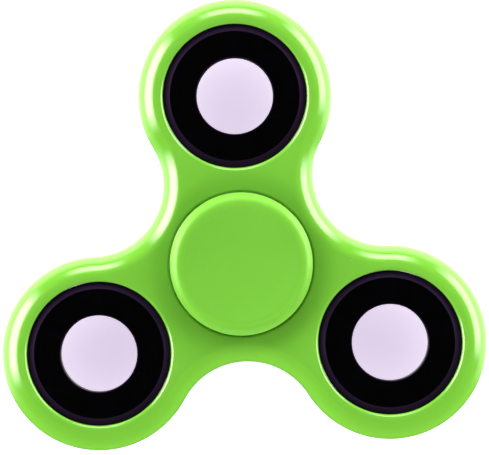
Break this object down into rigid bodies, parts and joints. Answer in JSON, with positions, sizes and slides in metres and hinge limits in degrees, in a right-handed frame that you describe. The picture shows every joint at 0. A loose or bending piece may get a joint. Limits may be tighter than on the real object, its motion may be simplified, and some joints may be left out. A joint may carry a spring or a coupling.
{
  "type": "fidget spinner",
  "caption": "Flat three-lobed hand spinner with a ring weight pressed into each lobe and two finger caps on a shielded central ball bearing.",
  "frame": {"origin": "centre of the ball bearing, on the spin axis, half way through the body's thickness", "axes": "+Z along the spin axis, out of the upper finger cap; +Y from the spin axis through the first lobe; the spinner lies flat on its lower finger cap"},
  "size_m": [0.0744, 0.0683, 0.0132],
  "materials": {
    "body_plastic": "gloss",
    "cap_plastic": "satin",
    "black_steel": "satin",
    "bearing_steel": "polished",
    "ball_steel": "polished",
    "sheet_steel": "satin",
    "spring_steel": "satin",
    "rivet_steel": "satin"
  },
  "bodies": {
    "hub": {"finger_cap_upper": "cap_plastic", "finger_cap_lower": "cap_plastic", "bearing_inner_ring": "bearing_steel"},
    "rotor": {"spinner_body": "body_plastic", "ring_weight_1": "black_steel", "ring_weight_2": "black_steel", "ring_weight_3": "black_steel", "bearing_outer_ring": "bearing_steel", "bearing_shield_upper": "sheet_steel", "bearing_shield_lower": "sheet_steel", "shield_clip_upper": "spring_steel", "shield_clip_lower": "spring_steel"},
    "cage": {"cage_ribbon_upper": "sheet_steel", "cage_ribbon_lower": "sheet_steel", "cage_rivet_1": "rivet_steel", "cage_rivet_2": "rivet_steel", "cage_rivet_3": "rivet_steel", "cage_rivet_4": "rivet_steel", "cage_rivet_5": "rivet_steel", "cage_rivet_6": "rivet_steel", "cage_rivet_7": "rivet_steel"},
    "ball_1": {"bearing_ball_1": "ball_steel"},
    "ball_2": {"bearing_ball_2": "ball_steel"},
    "ball_3": {"bearing_ball_3": "ball_steel"},
    "ball_4": {"bearing_ball_4": "ball_steel"},
    "ball_5": {"bearing_ball_5": "ball_steel"},
    "ball_6": {"bearing_ball_6": "ball_steel"},
    "ball_7": {"bearing_ball_7": "ball_steel"}
  },
  "joints": [
    {"name": "spin", "type": "hinge", "parent": "hub", "child": "rotor", "pos_m": [0, 0, 0], "axis": [0, 0, 1], "continuous": true},
    {"name": "cage_orbit", "type": "hinge", "parent": "hub", "child": "cage", "pos_m": [0, 0, 0], "axis": [0, 0, 1], "continuous": true},
    {"name": "ball_1_roll", "type": "hinge", "parent": "cage", "child": "ball_1", "pos_m": [0.0075, 0, 0], "axis": [0, 0, 1], "continuous": true},
    {"name": "ball_2_roll", "type": "hinge", "parent": "cage", "child": "ball_2", "pos_m": [0.00468, 0.00586, 0], "axis": [0, 0, 1], "continuous": true},
    {"name": "ball_3_roll", "type": "hinge", "parent": "cage", "child": "ball_3", "pos_m": [-0.00167, 0.00731, 0], "axis": [0, 0, 1], "continuous": true},
    {"name": "ball_4_roll", "type": "hinge", "parent": "cage", "child": "ball_4", "pos_m": [-0.00676, 0.00325, 0], "axis": [0, 0, 1], "continuous": true},
    {"name": "ball_5_roll", "type": "hinge", "parent": "cage", "child": "ball_5", "pos_m": [-0.00676, -0.00325, 0], "axis": [0, 0, 1], "continuous": true},
    {"name": "ball_6_roll", "type": "hinge", "parent": "cage", "child": "ball_6", "pos_m": [-0.00167, -0.00731, 0], "axis": [0, 0, 1], "continuous": true},
    {"name": "ball_7_roll", "type": "hinge", "parent": "cage", "child": "ball_7", "pos_m": [0.00468, -0.00586, 0], "axis": [0, 0, 1], "continuous": true}
  ],
  "couplings": [
    {"joint": "cage_orbit", "follows": "spin", "ratio": 0.63227},
    {"joint": "ball_1_roll", "follows": "spin", "ratio": 1.7579},
    {"joint": "ball_2_roll", "follows": "spin", "ratio": 1.7579},
    {"joint": "ball_3_roll", "follows": "spin", "ratio": 1.7579},
    {"joint": "ball_4_roll", "follows": "spin", "ratio": 1.7579},
    {"joint": "ball_5_roll", "follows": "spin", "ratio": 1.7579},
    {"joint": "ball_6_roll", "follows": "spin", "ratio": 1.7579},
    {"joint": "ball_7_roll", "follows": "spin", "ratio": 1.7579}
  ]
}
